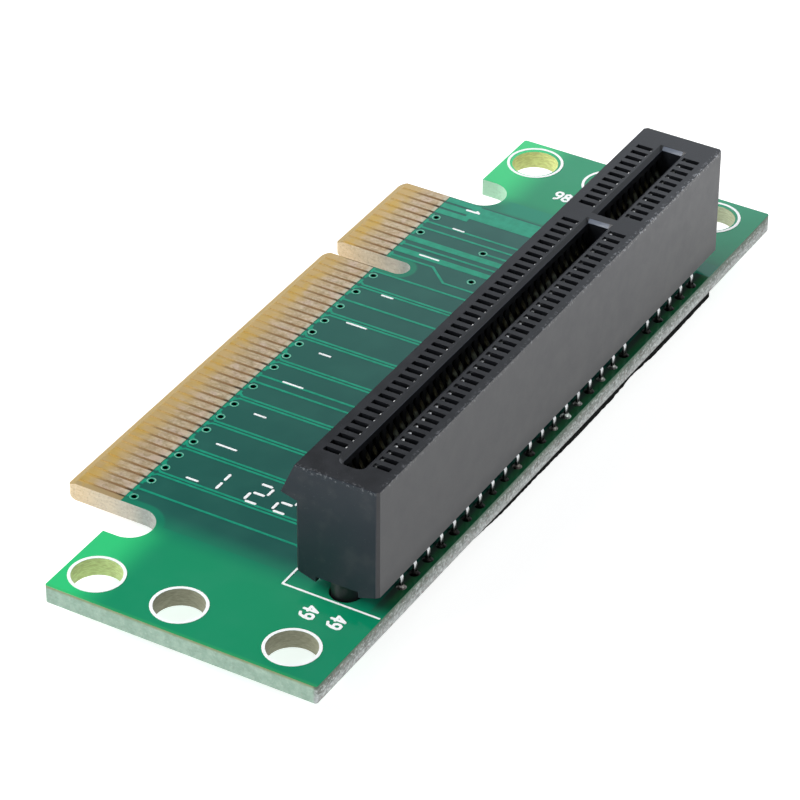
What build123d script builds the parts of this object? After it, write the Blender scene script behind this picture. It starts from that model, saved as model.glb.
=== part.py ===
"""x8 riser card: a flat circuit board with an edge-finger tab along one side and an
upright card socket soldered along the other, with a foam pad under the solder joints.

X runs along the tab and the socket, towards the highest contact number.
Y runs from the tab's tip towards the socket.
Z is up from the board's component face.
The origin is the socket key's middle, on the socket's centreline, on the board's component face.
"""

import math
import os

from build123d import *

os.makedirs("parts", exist_ok=True)

# Contact layout of an x8 card edge, the same for the tab and for the socket
pitch = 1.0
short_count = 11
long_count = 38
key_to_contact = 1.5

# Board blank, measured from the key's middle and the socket's centreline
board_t = 1.6
wing_len = 12.5
back_edge = 4.0
wing_edge = 20.0
corner_r = 0.25

# Edge-finger tab, whose key lies a little nearer the short end than the socket's key
tab_tip = 26.0
tab_shift = 0.4
tab_short_margin = 0.5
tab_long_margin = 1.05
tab_corner_r = 0.5
key_notch_w = 1.9
key_notch_depth = 7.8
relief_w = 3.9
relief_depth = 3.2
bevel_len = 0.7
bevel_h = 0.35

# Gold fingers
finger_w = 0.7
finger_len = 4.3
finger_t = 0.05

# Mounting holes, three at each end of the board
hole_d = 4.0
hole_end_gap = 3.1
hole_back_y = 0.0
hole_middle_y = -9.9
hole_front_y = -17.3

# Socket housing
housing_w = 7.2
housing_top = 11.3
housing_gap = 1.6
housing_margin = 3.0
edge_chamfer = 0.25
slot_w = 1.8
slot_depth = 8.0
slot_margin = 0.825
lead_in = 0.3
slot_end_r = 0.45

# Contact cavities
cavity_w = 0.5
cavity_out = 2.85
window_in = 1.4
lip_h = 0.9

# Hook ridge on the socket's far side, at the last contact
ridge_out = 1.25
ridge_h = 3.2
ridge_under = 0.35
ridge_len = 6.0

# Corner feet under the housing, deepest at their inner side
foot_in = 1.85
foot_h = 0.5
foot_len = 1.3

# Locating pegs, moulded with the housing
peg_d = 2.3
peg_clearance = 0.15
peg_short_of_face = 0.2
peg_chamfer = 0.3
peg_end_gap = 1.35

# Formed contacts
strip_t = 0.22
strip_w = 0.4
inner_row = 1.25
outer_row = 3.25
tail_past_board = 0.7
tail_clearance = 0.06
touch_y = 0.6
touch_below_top = 2.4
tip_below_top = 0.2
lip_clearance = 0.1
spring_root = 0.3
jog_below_housing = 0.2
jog_h = 0.4

# Foam pad
foam_t = 1.5
foam_short_end = 16.0
foam_long_end = 43.0
foam_front = 5.2
foam_back = 3.3
foam_skew = 0.0035
foam_wave = 0.07
foam_wave_rate = 0.83
foam_ripple_rate = 1.9
foam_step = 1.5
foam_corner = 4.0
foam_corner_slope = 0.12
foam_groove_w = 0.8
foam_groove_depth = 0.85

short_xs = [-(key_to_contact + i * pitch) for i in range(short_count)]
long_xs = [key_to_contact + i * pitch for i in range(long_count)]
first_x = short_xs[-1]
last_x = long_xs[-1]
short_end_x = first_x - wing_len
long_end_x = last_x + wing_len
housing_short_x = first_x - housing_margin
housing_long_x = last_x + housing_margin
peg_spots = [(0, 0), (housing_long_x - peg_end_gap, 0)]


def contact_number(x):
    """The number of the contact at x, counted from the short end."""
    if x < 0:
        return round(short_count - (-x - key_to_contact) / pitch)
    return round(short_count + 1 + (x - key_to_contact) / pitch)


def is_outer(side, x):
    """Even contacts of side a and odd contacts of side b have their tail in the outer row."""
    even = contact_number(x) % 2 == 0
    return even if side == "a" else not even


def on_side(side, x):
    """Where a piece drawn for side a stands for the contact at x of either side."""
    return Location((x, 0, 0), (0, 0, 0 if side == "a" else 180))


tail_spots = []
for side_sign, side in ((1, "a"), (-1, "b")):
    for x in short_xs + long_xs:
        row = outer_row if is_outer(side, x) else inner_row
        tail_spots.append((x, side_sign * row))


# Circuit board
with BuildPart() as circuit_board:
    with BuildSketch(Plane.XY.offset(-board_t)) as board_outline:
        with Locations(((short_end_x + long_end_x) / 2, (back_edge - wing_edge) / 2)):
            RectangleRounded(long_end_x - short_end_x, back_edge + wing_edge, corner_r)
        tab_short_x = first_x - tab_shift - tab_short_margin
        tab_long_x = last_x - tab_shift + tab_long_margin
        tab_root = wing_edge - relief_depth
        with Locations(((tab_short_x + tab_long_x) / 2, -(tab_tip + tab_root) / 2)):
            Rectangle(tab_long_x - tab_short_x, tab_tip - tab_root)
        fillet(board_outline.vertices().group_by(Axis.Y)[0], tab_corner_r)
        with Locations((tab_short_x - relief_w / 2, -wing_edge), (tab_long_x + relief_w / 2, -wing_edge)):
            SlotOverall(2 * relief_depth, relief_w, rotation=90, mode=Mode.SUBTRACT)
        with Locations((-tab_shift, -tab_tip)):
            SlotOverall(2 * key_notch_depth, key_notch_w, rotation=90, mode=Mode.SUBTRACT)
    extrude(amount=board_t)

    # Bevels along the tab's tip, above and below
    with BuildSketch(Plane.YZ.offset(tab_short_x)):
        for face_z, inward in ((0, -1), (-board_t, 1)):
            with BuildLine():
                Polyline(
                    (-tab_tip, face_z),
                    (-tab_tip + bevel_len, face_z),
                    (-tab_tip, face_z + inward * bevel_h),
                    close=True,
                )
            make_face()
    extrude(amount=tab_long_x - tab_short_x, mode=Mode.SUBTRACT)

    # Mounting holes
    with Locations(
        *[
            (x, y)
            for x in (short_end_x + hole_end_gap, long_end_x - hole_end_gap)
            for y in (hole_back_y, hole_middle_y, hole_front_y)
        ]
    ):
        Hole(hole_d / 2)

    # Holes for the locating pegs
    with Locations(*peg_spots):
        Hole(peg_d / 2 + peg_clearance)

    # Holes for the contact tails
    with BuildSketch():
        with Locations(*tail_spots):
            Rectangle(strip_w + 2 * tail_clearance, strip_t + 2 * tail_clearance)
    extrude(amount=-board_t, mode=Mode.SUBTRACT)

circuit_board.part.label = "circuit_board"
export_step(circuit_board.part, "parts/circuit_board.step")


# Gold fingers, on both faces of the tab
finger_y = -(tab_tip - bevel_len) + finger_len / 2
for face, finger_z in (("front", 0), ("back", -board_t - finger_t)):
    for bank, xs in (("short", short_xs), ("long", long_xs)):
        with BuildPart() as fingers:
            with BuildSketch(Plane.XY.offset(finger_z)):
                with Locations(*[(x - tab_shift, finger_y) for x in xs]):
                    Rectangle(finger_w, finger_len)
            extrude(amount=finger_t)
        fingers.part.label = f"{face}_fingers_{bank}"
        export_step(fingers.part, f"parts/{face}_fingers_{bank}.step")


# The space that one contact works in, drawn for side a
with BuildPart() as contact_cavity:
    with BuildSketch(Plane.YZ.offset(-cavity_w / 2)):
        with BuildLine():
            Polyline(
                (cavity_out, housing_gap),
                (cavity_out, housing_top),
                (window_in, housing_top),
                (window_in, housing_top - lip_h),
                (slot_w / 2, housing_top - lip_h),
                (slot_w / 2, housing_top - slot_depth),
                (inner_row - strip_t / 2, housing_top - slot_depth),
                (inner_row - strip_t / 2, housing_gap),
                close=True,
            )
        make_face()
    extrude(amount=cavity_w)


# Socket housing, one moulding with its ridge and pegs
with BuildPart() as connector_housing:
    with BuildSketch(Plane.XY.offset(housing_gap)):
        with Locations(((housing_short_x + housing_long_x) / 2, 0)):
            Rectangle(housing_long_x - housing_short_x, housing_w)
    extrude(amount=housing_top - housing_gap)
    chamfer(connector_housing.edges().filter_by(Axis.Z), edge_chamfer)

    # Corner feet
    for end_x, inward in ((housing_short_x, foot_len), (housing_long_x, -foot_len)):
        with BuildSketch(Plane.YZ.offset(end_x)):
            with BuildLine():
                Polyline(
                    (foot_in, housing_gap),
                    (foot_in, housing_gap - foot_h),
                    (housing_w / 2 - edge_chamfer, housing_gap),
                    close=True,
                )
            make_face()
            mirror(about=Plane.YZ)
        extrude(amount=inward)

    # Hook ridge, flush with the end face
    with BuildSketch(Plane.YZ.offset(housing_long_x)):
        with BuildLine():
            Polyline(
                (-housing_w / 2 + edge_chamfer, housing_top),
                (-housing_w / 2, housing_top),
                (-housing_w / 2 - ridge_out, housing_top - ridge_h + ridge_under),
                (-housing_w / 2, housing_top - ridge_h),
                (-housing_w / 2 + edge_chamfer, housing_top - ridge_h),
                close=True,
            )
        make_face()
    extrude(amount=-ridge_len)

    # Locating pegs
    peg_len = housing_gap + board_t - peg_short_of_face
    with BuildSketch(Plane.XY.offset(housing_gap)):
        with Locations(*peg_spots):
            Circle(peg_d / 2)
    extrude(amount=-peg_len)
    chamfer(connector_housing.edges().group_by(Axis.Z)[0], peg_chamfer)

    # Card slot in two parts, with the key rib between them and a lead-in round each mouth
    with BuildSketch(Plane.XY.offset(housing_top)) as slot_mouths:
        for slot_xs in (short_xs, long_xs):
            slot_low = min(slot_xs) - slot_margin
            slot_high = max(slot_xs) + slot_margin
            with Locations(((slot_low + slot_high) / 2, 0)):
                Rectangle(slot_high - slot_low, slot_w)
        fillet(slot_mouths.vertices().group_by(Axis.X)[-1], slot_end_r)
    extrude(amount=-slot_depth, mode=Mode.SUBTRACT)
    mouth_edges = connector_housing.edges(Select.LAST).group_by(Axis.Z)[-1]
    chamfer(mouth_edges, lead_in)

    # Contact cavities, each with its window in the top face
    with Locations(*[on_side(side, x) for side in "ab" for x in short_xs + long_xs]):
        add(contact_cavity.part, mode=Mode.SUBTRACT)

connector_housing.part.label = "connector_housing"
export_step(connector_housing.part, "parts/connector_housing.step")


# The sprung end of a contact: its bend towards the slot, its touch point, and its tip behind the lip
spring_line = [
    (touch_y, housing_top - touch_below_top),
    (window_in, housing_top - lip_h - lip_clearance),
    (window_in, housing_top - tip_below_top),
]
tail_end_z = -board_t - tail_past_board
spring_root_z = housing_top - slot_depth + spring_root

# Formed contact with its tail in the inner row, drawn for side a
with BuildPart() as inner_contact:
    with BuildSketch(Plane.YZ.offset(-strip_w / 2)):
        with BuildLine():
            stem_y = inner_row - strip_t / 2
            Polyline(
                (stem_y, tail_end_z),
                (stem_y, spring_root_z),
                *spring_line,
            )
            offset(amount=strip_t, side=Side.RIGHT, kind=Kind.INTERSECTION)
        make_face()
    extrude(amount=strip_w)

# Formed contact with its tail jogged out to the outer row, drawn for side a
with BuildPart() as outer_contact:
    with BuildSketch(Plane.YZ.offset(-strip_w / 2)):
        with BuildLine():
            jog_top_z = housing_gap - jog_below_housing
            Polyline(
                (outer_row - strip_t / 2, tail_end_z),
                (outer_row - strip_t / 2, jog_top_z - jog_h),
                (cavity_out - strip_t, jog_top_z),
                (cavity_out - strip_t, spring_root_z),
                *spring_line,
            )
            offset(amount=strip_t, side=Side.RIGHT, kind=Kind.INTERSECTION)
        make_face()
    extrude(amount=strip_w)

# Contacts of each side and bank, the two tail forms apart
for side in "ab":
    for bank, xs in (("short", short_xs), ("long", long_xs)):
        for form, blank in (("inner", inner_contact), ("outer", outer_contact)):
            spots = [on_side(side, x) for x in xs if is_outer(side, x) == (form == "outer")]
            with BuildPart() as contacts:
                with Locations(*spots):
                    add(blank.part)
            contacts.part.label = f"contacts_{side}_{bank}_{form}"
            export_step(contacts.part, f"parts/contacts_{side}_{bank}_{form}.step")


def foam_edge_y(x):
    """The pad's hand-cut back edge: a little askew and wavy, and cut away at its short end."""
    corner = max(0, foam_corner - (x + foam_short_end)) * foam_corner_slope
    wave = math.sin(foam_wave_rate * x) + math.sin(foam_ripple_rate * x) / 2
    return foam_back - foam_skew * x - corner + foam_wave * wave


# Foam pad, pressed on over the tails
with BuildPart() as foam_pad:
    foam_steps = round((foam_long_end + foam_short_end) / foam_step)
    foam_xs = [-foam_short_end + i * (foam_long_end + foam_short_end) / foam_steps for i in range(foam_steps + 1)]
    with BuildSketch(Plane.XY.offset(-board_t)):
        with BuildLine():
            Polyline(
                (-foam_short_end, -foam_front),
                (foam_long_end, -foam_front),
                *[(x, foam_edge_y(x)) for x in reversed(foam_xs)],
                close=True,
            )
        make_face()
    extrude(amount=-foam_t)

    # Grooves that the rows of tails have pressed into the pad
    with BuildSketch(Plane.XY.offset(-board_t)):
        with Locations(*[((first_x + last_x) / 2, y) for y in (-outer_row, -inner_row, inner_row, outer_row)]):
            Rectangle(last_x - first_x + foam_groove_w, foam_groove_w)
    extrude(amount=-foam_groove_depth, mode=Mode.SUBTRACT)

foam_pad.part.label = "foam_pad"
export_step(foam_pad.part, "parts/foam_pad.step")
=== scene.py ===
import math

import bmesh
import bpy
from mathutils import Matrix, Vector, noise


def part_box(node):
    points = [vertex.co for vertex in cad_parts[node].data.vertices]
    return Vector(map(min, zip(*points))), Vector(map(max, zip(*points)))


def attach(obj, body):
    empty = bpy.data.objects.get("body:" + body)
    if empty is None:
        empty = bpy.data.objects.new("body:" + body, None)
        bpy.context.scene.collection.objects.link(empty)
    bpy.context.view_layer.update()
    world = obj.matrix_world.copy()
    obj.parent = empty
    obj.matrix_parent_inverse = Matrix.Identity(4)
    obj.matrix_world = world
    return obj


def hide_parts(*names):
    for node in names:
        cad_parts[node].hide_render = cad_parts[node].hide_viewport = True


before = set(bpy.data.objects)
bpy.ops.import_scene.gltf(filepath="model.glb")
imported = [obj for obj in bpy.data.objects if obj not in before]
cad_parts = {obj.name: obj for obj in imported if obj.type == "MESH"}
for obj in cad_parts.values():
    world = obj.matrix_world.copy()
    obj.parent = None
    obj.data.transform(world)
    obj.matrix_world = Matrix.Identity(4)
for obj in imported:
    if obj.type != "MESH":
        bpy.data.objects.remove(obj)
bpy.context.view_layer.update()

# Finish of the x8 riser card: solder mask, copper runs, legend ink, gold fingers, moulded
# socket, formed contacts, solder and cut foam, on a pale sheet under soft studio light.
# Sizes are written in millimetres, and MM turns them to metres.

MM = 0.001
BODY = "root"

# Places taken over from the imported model, in millimetres
BOARD_LOW, BOARD_HIGH = [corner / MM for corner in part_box("circuit_board")]
HOUSING_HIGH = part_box("connector_housing")[1] / MM
FOAM_LOW, FOAM_HIGH = [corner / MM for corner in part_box("foam_pad")]
FINGER_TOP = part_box("front_fingers_short")[1].y / MM
BOARD_UNDER = BOARD_LOW.z

# Contact layout: numbers run from 1 at the short end to 49, with the key after 11
CONTACTS = range(1, 50)
KEY_AFTER = 11
TAB_SHIFT = 0.4
# How far the two rows of tails of each side stand from the socket's middle line
INNER_ROW, OUTER_ROW = 1.25, 3.25


def contact_x(number):
    """The x of a socket contact."""
    return number - 12.5 if number <= KEY_AFTER else number - 10.5


def finger_x(number):
    """The x of an edge finger, on the tab that stands a little off the socket's contacts."""
    return contact_x(number) - TAB_SHIFT


SLOT_MIDDLE = (contact_x(1) + contact_x(49)) / 2
SLOT_HALF = SLOT_MIDDLE - contact_x(1)

# Notches that open towards the tab's tip: x, y and radius of the round inner end
KEY_NOTCH = (-0.4, -19.15, 0.95)
RELIEFS = [(-14.35, -18.75, 1.95), (41.1, -18.75, 1.95)]
TAB_LOW_X = RELIEFS[0][0] + RELIEFS[0][2]
TAB_HIGH_X = RELIEFS[1][0] - RELIEFS[1][2]
TAB_MIDDLE = (TAB_LOW_X + TAB_HIGH_X) / 2
TAB_HALF = (TAB_HIGH_X - TAB_LOW_X) / 2

# Where the inner copper plane ends, and how far it keeps off each notch
PLANE_LOW_X, PLANE_HIGH_X, PLANE_BACK = -12.3, 40.4, 2.75
PLANE_NOTCHES = [(KEY_NOTCH, 1.5), (RELIEFS[1], 2.6), (RELIEFS[0], 2.4)]

# Joints on the socket's side of the board that are paler than the rest: their x and their tone
PALER_JOINTS = [
    (37.5, "#7d7873"), (19.5, "#6d6862"), (13.5, "#7b7872"), (11.5, "#b4bab2"),
    (9.5, "#8a8984"), (5.5, "#8f9089"), (3.5, "#94948f"),
]


# Shader and node-tree helpers


def colour(hex_code):
    """An sRGB hex value as the linear colour that a shader socket takes."""
    channels = [int(hex_code[i : i + 2], 16) / 255 for i in (1, 3, 5)]
    linear = [c / 12.92 if c <= 0.04045 else ((c + 0.055) / 1.055) ** 2.4 for c in channels]
    return (*linear, 1.0)


def node(tree, kind, inputs=None, **settings):
    """Adds a node. Each input is a value, or another node's output to link from."""
    made = tree.nodes.new(kind)
    for name, value in settings.items():
        setattr(made, name, value)
    for key, value in (inputs or {}).items():
        if isinstance(value, bpy.types.NodeSocket):
            tree.links.new(value, made.inputs[key])
        else:
            made.inputs[key].default_value = value
    return made


def new_finish(name, roughness, ior=1.5, metallic=0.0):
    """A material with its surface shader, whose constants sit on the shader's own sockets,
    and the place of a point on the card, in millimetres."""
    finish = bpy.data.materials.new(name)
    finish.use_nodes = True
    tree = finish.node_tree
    tree.nodes.clear()
    constants = {"Roughness": roughness, "IOR": ior, "Metallic": metallic}
    surface = node(tree, "ShaderNodeBsdfPrincipled", constants)
    node(tree, "ShaderNodeOutputMaterial", {"Surface": surface.outputs["BSDF"]})
    to_millimetres = {0: node(tree, "ShaderNodeTexCoord").outputs["Object"], 1: (1 / MM,) * 3}
    place = node(tree, "ShaderNodeVectorMath", to_millimetres, operation="MULTIPLY").outputs[0]
    return finish, tree, surface, place


def blend_colour(tree, amount, first, second, kind="MIX"):
    """A mix of two colours, each an output or an sRGB hex value."""
    first, second = (colour(c) if isinstance(c, str) else c for c in (first, second))
    inputs = {0: amount, 6: first, 7: second}
    return node(tree, "ShaderNodeMix", inputs, data_type="RGBA", blend_type=kind).outputs[2]


def band(tree, value, start, end, low=0.0, high=1.0):
    """A soft step of value between start and end."""
    inputs = {0: value, 1: start, 2: end, 3: low, 4: high}
    return node(tree, "ShaderNodeMapRange", inputs, interpolation_type="SMOOTHSTEP").outputs[0]


def tint(tree, base, value, start, end, shade, most=1.0):
    """The base colour, turning to shade, or the most of it, as value goes from start to end."""
    return blend_colour(tree, band(tree, value, start, end, 0.0, most), base, shade)


def fold(tree, operation, first, *others):
    """Amounts taken together by one operation, from the first to the last."""
    for other in others:
        first = node(tree, "ShaderNodeMath", {0: first, 1: other}, operation=operation).outputs[0]
    return first


def overlap(tree, *amounts):
    """Where all of the amounts hold: their product."""
    return fold(tree, "MULTIPLY", *amounts)


def strongest(tree, *amounts):
    """The largest of the amounts."""
    return fold(tree, "MAXIMUM", *amounts)


def distance(tree, value, centre=0.0):
    """How far value is from centre, either way."""
    way = fold(tree, "SUBTRACT", value, centre)
    return node(tree, "ShaderNodeMath", {0: way}, operation="ABSOLUTE").outputs[0]


def wander(tree, value, pattern, spread):
    """The value, moved by a pattern so that what ends along it ends unevenly."""
    return fold(tree, "ADD", value, overlap(tree, fold(tree, "SUBTRACT", pattern, 0.5), spread))


def grain(tree, place, size, detail=3.0, roughness=0.55, stretch=(1, 1, 1)):
    """Noise whose grains are about size across, in millimetres."""
    sized = {0: place, 1: [s / size for s in stretch]}
    scaled = node(tree, "ShaderNodeVectorMath", sized, operation="MULTIPLY").outputs[0]
    inputs = {"Vector": scaled, "Scale": 1.0, "Detail": detail, "Roughness": roughness}
    return node(tree, "ShaderNodeTexNoise", inputs).outputs["Fac"]


def relief(tree, surface, height, depth, strength=1.0):
    """Bump of a real depth, in millimetres, on the surface shader."""
    inputs = {"Height": height, "Distance": depth * MM, "Strength": strength}
    bump = node(tree, "ShaderNodeBump", inputs)
    tree.links.new(bump.outputs["Normal"], surface.inputs["Normal"])


def notch_gap(tree, x, y, notch):
    """Distance from the middle line of a notch that opens towards the tab's tip."""
    across = fold(tree, "SUBTRACT", x, notch[0])
    along = fold(tree, "MAXIMUM", fold(tree, "SUBTRACT", y, notch[1]), 0.0)
    pair = node(tree, "ShaderNodeCombineXYZ", {0: across, 1: along}).outputs[0]
    return node(tree, "ShaderNodeVectorMath", {0: pair}, operation="LENGTH").outputs["Value"]


# Finishes


def solder_mask():
    """Green epoxy solder mask, screened and cured: a glossy skin, dark teal over the inner
    copper plane and a clearer green where light comes up through the bare laminate."""
    finish, tree, surface, place = new_finish("epoxy_solder_mask", 0.14, 1.5)
    x, y, z = node(tree, "ShaderNodeSeparateXYZ", {0: place}).outputs
    # Light from the sheet below shows most near the tab's side of the bare ends
    bare = tint(tree, "#199064", y, -14.5, -18.5, "#36cb7d")
    bare = tint(tree, bare, y, -2.5, 3.0, "#08875f")
    # The clear margins round the tab's notches have copper close by and stay dull
    bare = tint(tree, bare, distance(tree, x, TAB_MIDDLE), TAB_HALF + 3.2, TAB_HALF + 0.4, "#157a5e")
    over_plane = tint(tree, "#1a554d", y, -6.0, -21.0, "#1d5b51")
    over_plane = tint(tree, over_plane, x, 38.3, 40.6, "#1d785d")
    inside = overlap(
        tree,
        band(tree, x, PLANE_LOW_X - 0.1, PLANE_LOW_X + 0.1),
        band(tree, x, PLANE_HIGH_X + 0.1, PLANE_HIGH_X - 0.1),
        band(tree, y, PLANE_BACK + 0.15, PLANE_BACK - 0.15),
    )
    for notch, clear in PLANE_NOTCHES:
        inside = overlap(tree, inside, band(tree, notch_gap(tree, x, y, notch), clear - 0.12, clear + 0.16))
    skin = blend_colour(tree, inside, bare, over_plane)
    # Behind the socket the plane has ended, and the mask turns green again towards the edge. The strip is
    # painted dark grey-green next to the housing and fades out past the socket's ends: a painted shadow of
    # the socket.
    behind = overlap(
        tree,
        band(tree, y, PLANE_BACK - 0.15, PLANE_BACK + 0.15),
        band(tree, x, 42.4, 38.4),
        band(tree, x, -13.9, -12.2),
    )
    strip = tint(tree, "#38473f", y, 3.1, 3.5, "#2c5f3c")
    strip = tint(tree, strip, y, 3.5, 3.8, "#216841")
    skin = blend_colour(tree, behind, skin, strip)
    # A second, narrower copper area beyond the power contacts
    beyond = overlap(
        tree, band(tree, x, -14.4, -14.2), band(tree, x, -12.4, -12.6), band(tree, y, -16.8, -15.4)
    )
    skin = blend_colour(tree, beyond, skin, "#10876a")
    # The mask runs thin along the long end's arris
    skin = tint(tree, skin, x, BOARD_HIGH.x - 0.45, BOARD_HIGH.x - 0.05, "#45b062", 0.35)
    skin = tint(tree, skin, grain(tree, place, 4.0, 2.0), 0.4, 0.75, "#4f9c86", 0.06)
    tree.links.new(skin, surface.inputs["Base Color"])
    relief(tree, surface, grain(tree, place, 0.5), 0.002, 0.5)
    return finish


def mask_over_copper():
    """The same mask over etched copper: lighter, as the bright metal shows through it."""
    finish, tree, surface, place = new_finish("solder_mask_over_copper", 0.16, 1.5)
    skin = tint(tree, "#138f70", grain(tree, place, 0.8), 0.3, 0.7, "#1c9c7c")
    tree.links.new(skin, surface.inputs["Base Color"])
    relief(tree, surface, grain(tree, place, 0.4), 0.002, 0.5)
    return finish


def thin_mask_lip():
    """Painted highlight: a pale green line round the rim of each land, standing in for the light caught by
    the mask's lip over the metal.
    """
    finish, tree, surface, place = new_finish("thin_solder_mask", 0.2, 1.5)
    skin = tint(tree, "#5fae94", grain(tree, place, 0.3, 2.0), 0.35, 0.65, "#98cdb9")
    tree.links.new(skin, surface.inputs["Base Color"])
    return finish


def glass_epoxy():
    """Routed glass-epoxy laminate: pale and matt, with cut fibre ends in layers. Greenish where
    the long end was routed, darker towards the mask along the back, warm round the tab."""
    finish, tree, surface, place = new_finish("glass_epoxy_laminate", 0.62, 1.52)
    x, y, z = node(tree, "ShaderNodeSeparateXYZ", {0: place}).outputs
    layers = grain(tree, place, 0.9, 4.0, 0.6, (1, 1, 6))
    specks = grain(tree, place, 0.22, 3.0, 0.65)
    clouds = grain(tree, place, 0.7)
    at_long_end = band(tree, x, BOARD_HIGH.x - 0.3, BOARD_HIGH.x - 0.1)
    at_back = band(tree, y, BOARD_HIGH.y - 0.4, BOARD_HIGH.y - 0.1)
    ground = tint(tree, "#86a290", clouds, 0.35, 0.65, "#97b19f")
    # Down the back edge the colour runs from a dark green-grey at the top, through grey, to pale grey at the
    # bottom
    back_top = tint(tree, "#435c49", clouds, 0.4, 0.6, "#6f7c6b")
    resin = tint(tree, "#6f7770", clouds, 0.4, 0.6, "#8f9691")
    back = tint(tree, back_top, z, -0.1, -0.6, resin)
    back = tint(tree, back, z, -0.7, -1.2, "#a9adac")
    fibres = grain(tree, place, 0.34, 3.0, 0.7, (1, 1, 1.4))
    back = tint(tree, back, fibres, 0.5, 0.36, "#626a66", 0.5)
    back = tint(tree, back, fibres, 0.52, 0.66, "#d9dedd", 0.6)
    ground = blend_colour(tree, at_back, ground, back)
    # The cut round the tab, warm at the tip and greyer up to the wings
    tab_cut = TAB_HALF + 2 * RELIEFS[0][2]
    off_middle = distance(tree, x, TAB_MIDDLE)
    round_tab = overlap(
        tree, band(tree, off_middle, tab_cut + 0.3, tab_cut + 0.1), band(tree, y, -14.0, -16.0)
    )
    tab_side = tint(tree, "#d6be98", y, -25.0, -22.5, "#ccbda4")
    tab_side = tint(tree, tab_side, y, -22.2, -20.6, "#c0b8a8")
    tab_side = tint(tree, tab_side, y, -20.4, -18.6, "#9ea39c")
    ground = blend_colour(tree, round_tab, ground, tab_side)
    # The short end's relief is lit green through the board
    radius = RELIEFS[0][2]
    in_relief = band(tree, notch_gap(tree, x, y, RELIEFS[0]), radius + 0.3, radius + 0.1)
    at_relief = overlap(tree, in_relief, band(tree, x, -12.6, -13.2))
    ground = blend_colour(tree, at_relief, ground, "#a3cfb1")
    # Streaks and specks, fainter at the long end and round the tab
    quiet = strongest(
        tree,
        overlap(tree, round_tab, 0.5),
        overlap(tree, at_relief, 0.75),
        overlap(tree, at_long_end, 0.75),
    )
    lively = fold(tree, "SUBTRACT", 1.0, quiet)
    streaks = overlap(tree, band(tree, layers, 0.68, 0.32, 0.0, 0.8), lively)
    ground = blend_colour(tree, streaks, ground, blend_colour(tree, 0.5, ground, "#8b8a76", "MULTIPLY"))
    for start, end, most, shade in ((0.54, 0.66, 0.65, "#6b4f48"), (0.42, 0.34, 0.45, "#e9ebe2")):
        flecks = overlap(tree, band(tree, specks, start, end, 0.0, most), lively)
        ground = blend_colour(tree, flecks, ground, shade)
    # The router drags a little mask and resin over each arris
    brim = blend_colour(tree, 0.7, ground, "#73762f")
    brim = blend_colour(tree, at_back, brim, "#4b6450")
    off_tab = fold(tree, "SUBTRACT", 1.0, round_tab)
    ground = blend_colour(tree, overlap(tree, band(tree, z, -0.32, -0.06), off_tab), ground, brim)
    tree.links.new(ground, surface.inputs["Base Color"])
    relief(tree, surface, fold(tree, "ADD", layers, specks), 0.03, 0.6)
    return finish


def drilled_laminate():
    """The cut wall of a mounting hole: glass and resin, yellow-green by the tab's side where
    the sheet lights it through, browner further back."""
    finish, tree, surface, place = new_finish("drilled_glass_epoxy", 0.6, 1.52)
    x, y, z = node(tree, "ShaderNodeSeparateXYZ", {0: place}).outputs
    turns = grain(tree, place, 0.5, 4.0, 0.6, (1, 1, 5))
    ground = tint(tree, "#8f8f78", x, 0.0, -10.0, "#bdc4a6")
    lit = tint(tree, "#bfd28d", x, 0.0, -10.0, "#d8de93")
    ground = tint(tree, ground, y, -13.0, -15.0, lit)
    streaked = blend_colour(tree, 0.4, ground, "#9a8a66", "MULTIPLY")
    ground = tint(tree, streaked, turns, 0.35, 0.65, ground)
    tree.links.new(ground, surface.inputs["Base Color"])
    relief(tree, surface, turns, 0.02, 0.8)
    return finish


def bare_tab():
    """Bare laminate between and before the fingers: brown by the mask, over the inner copper, and a clear
    resin yellow towards the bevelled tip, which is partly painted light: the sheet's light shining up
    through the resin."""
    finish, tree, surface, place = new_finish("bare_resin_laminate", 0.45, 1.52)
    x, y, z = node(tree, "ShaderNodeSeparateXYZ", {0: place}).outputs
    along = wander(tree, y, grain(tree, place, 2.2), 1.6)
    resin = tint(tree, "#3a2b16", along, -21.1, -21.9, "#8a6a44")
    resin = tint(tree, resin, along, -22.4, -23.6, "#957a52")
    resin = tint(tree, resin, along, -23.4, -24.5, "#c2a263")
    # Past the outer fingers there is no inner copper to darken it, and more of the painted light from the
    # sheet shows
    off_middle = distance(tree, x, TAB_MIDDLE)
    resin = tint(tree, resin, off_middle, TAB_HALF - 0.6, TAB_HALF - 0.45, "#ab9367", 0.85)
    resin = blend_colour(tree, yellow_blotches(tree, place, y), resin, "#c39c34")
    # The bevel at the very tip is painted darker: painted shade, holding back the key light that falls full
    # on its slope
    resin = tint(tree, resin, y, -25.25, -25.35, "#a1843f", 0.9)
    tree.links.new(resin, surface.inputs["Base Color"])
    relief(tree, surface, grain(tree, place, 0.3), 0.006, 0.7)
    return finish


def yellow_blotches(tree, place, y):
    """How far a stain of flux and resin lies over the tab, in patches near its tip."""
    stain = band(tree, grain(tree, place, 1.5, 2.0), 0.48, 0.64)
    return overlap(tree, stain, band(tree, y, -23.2, -24.6, 0.0, 0.5))


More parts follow.
